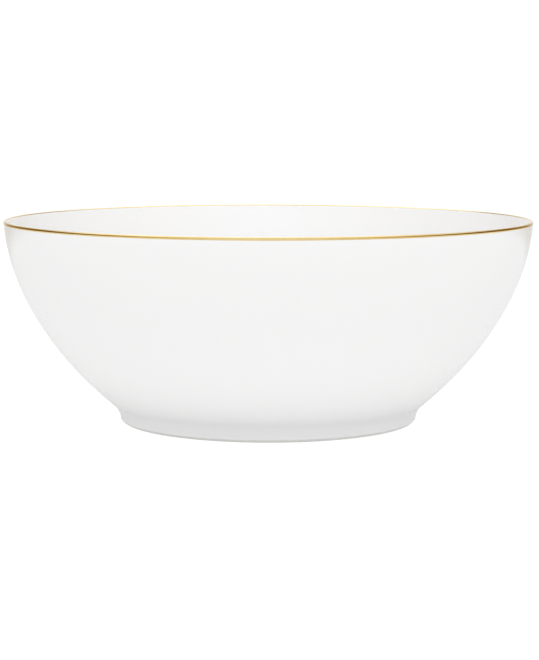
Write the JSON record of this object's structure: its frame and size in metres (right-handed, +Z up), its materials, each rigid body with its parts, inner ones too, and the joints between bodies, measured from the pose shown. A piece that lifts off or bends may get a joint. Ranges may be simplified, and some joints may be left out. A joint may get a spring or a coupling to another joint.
{
  "type": "porcelain serving bowl",
  "caption": "Round deep white porcelain serving bowl on a low foot ring, glazed inside and out, with a fine gold line over its rim.",
  "frame": {"origin": "centre of the circle on which the foot ring stands, on the table plane", "axes": "+Z up the axis on which the bowl was turned, out of its mouth; the bowl is round, so +X and +Y are alike and -Y is taken as the front"},
  "size_m": [0.25, 0.25, 0.096],
  "materials": {
    "bisque_porcelain": "matte",
    "white_glaze": "polished",
    "fired_gold": "polished"
  },
  "bodies": {
    "root": {"porcelain_body": "bisque_porcelain", "glaze_coat": "white_glaze", "base_glaze": "white_glaze", "rim_gilding": "fired_gold"}
  },
  "joints": []
}
